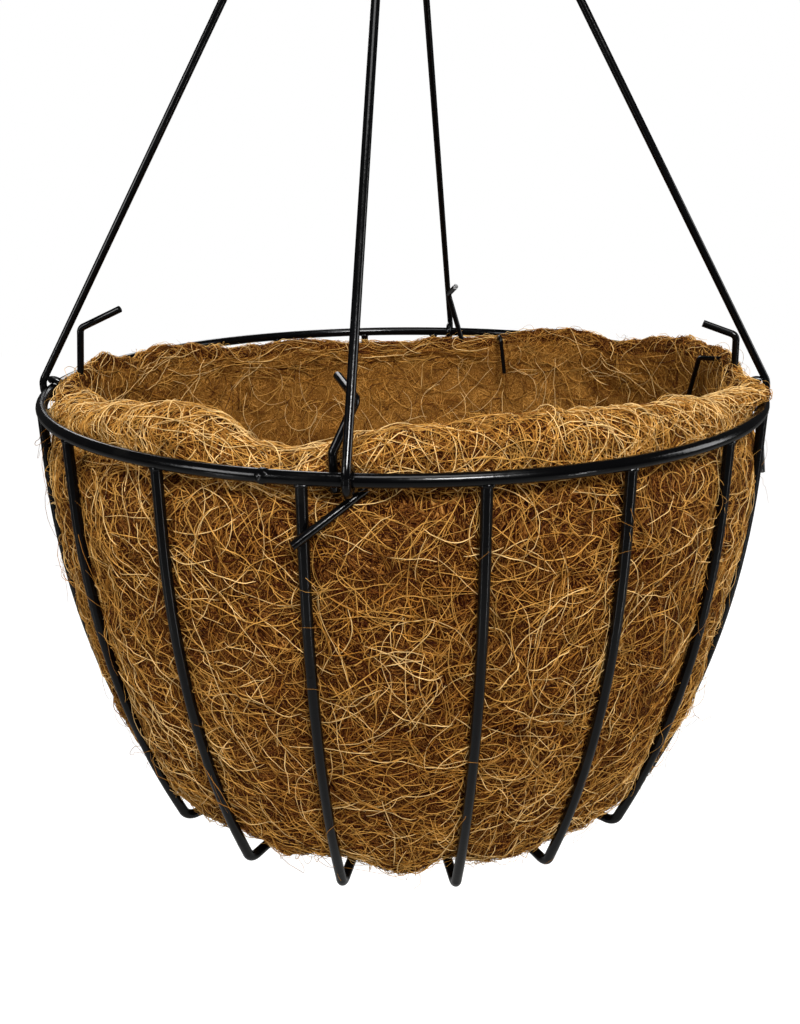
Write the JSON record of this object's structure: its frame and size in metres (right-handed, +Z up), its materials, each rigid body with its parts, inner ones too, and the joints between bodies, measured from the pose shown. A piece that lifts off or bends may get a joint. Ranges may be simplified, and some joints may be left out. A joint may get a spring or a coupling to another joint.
{
  "type": "hanging basket",
  "caption": "Round wire hanging basket of curved coated ribs with a coir liner, a rolled fibre edge and a wire hanger gathered under a swivel hook.",
  "frame": {"origin": "centre of the basket's feet, on the surface it stands on", "axes": "+Z up along the basket's axis to the hook, -Y to the front, +X to the right"},
  "size_m": [0.368, 0.365, 0.5626],
  "materials": {
    "frame_coating": "glossy black coating over steel wire",
    "hanger_coating": "glossy black coating over thin steel wire",
    "coir": "rough golden-brown coconut fibre, loose curled strands"
  },
  "bodies": {
    "basket": {"rim_ring": "frame_coating", "base_ring": "frame_coating", "rib_01": "frame_coating", "rib_02": "frame_coating", "rib_03": "frame_coating", "rib_04": "frame_coating", "rib_05": "frame_coating", "rib_06": "frame_coating", "rib_07": "frame_coating", "rib_08": "frame_coating", "rib_09": "frame_coating", "rib_10": "frame_coating", "rib_11": "frame_coating", "rib_12": "frame_coating", "rib_13": "frame_coating", "rib_14": "frame_coating", "rib_15": "frame_coating", "rib_16": "frame_coating", "rib_17": "frame_coating", "rib_18": "frame_coating", "coir_liner": "coir", "liner_clip_front": "hanger_coating", "liner_clip_right": "hanger_coating", "liner_clip_back": "hanger_coating", "liner_clip_left": "hanger_coating", "liner_pin_front": "hanger_coating", "liner_pin_right": "hanger_coating", "liner_pin_back": "hanger_coating", "hanger_hub": "hanger_coating"},
    "front_wire": {"hanger_wire_front": "hanger_coating"},
    "right_wire": {"hanger_wire_right": "hanger_coating"},
    "back_wire": {"hanger_wire_back": "hanger_coating"},
    "left_wire": {"hanger_wire_left": "hanger_coating"},
    "hook": {"swivel_hook": "hanger_coating", "hook_collar": "hanger_coating"}
  },
  "joints": [
    {"name": "front_wire_slide", "type": "hinge", "parent": "basket", "child": "front_wire", "pos_m": [0, 0, 0.207], "axis": [0, 0, 1], "range_deg": [-0.8, 4]},
    {"name": "right_wire_slide", "type": "hinge", "parent": "basket", "child": "right_wire", "pos_m": [0, 0, 0.207], "axis": [0, 0, 1], "range_deg": [-3.5, 4]},
    {"name": "back_wire_slide", "type": "hinge", "parent": "basket", "child": "back_wire", "pos_m": [0, 0, 0.207], "axis": [0, 0, 1], "range_deg": [-3.5, 1.8]},
    {"name": "left_wire_slide", "type": "hinge", "parent": "basket", "child": "left_wire", "pos_m": [0, 0, 0.207], "axis": [0, 0, 1], "range_deg": [-3.5, 4]},
    {"name": "hook_swivel", "type": "hinge", "parent": "basket", "child": "hook", "pos_m": [0, 0, 0.493], "axis": [0, 0, 1], "continuous": true}
  ]
}
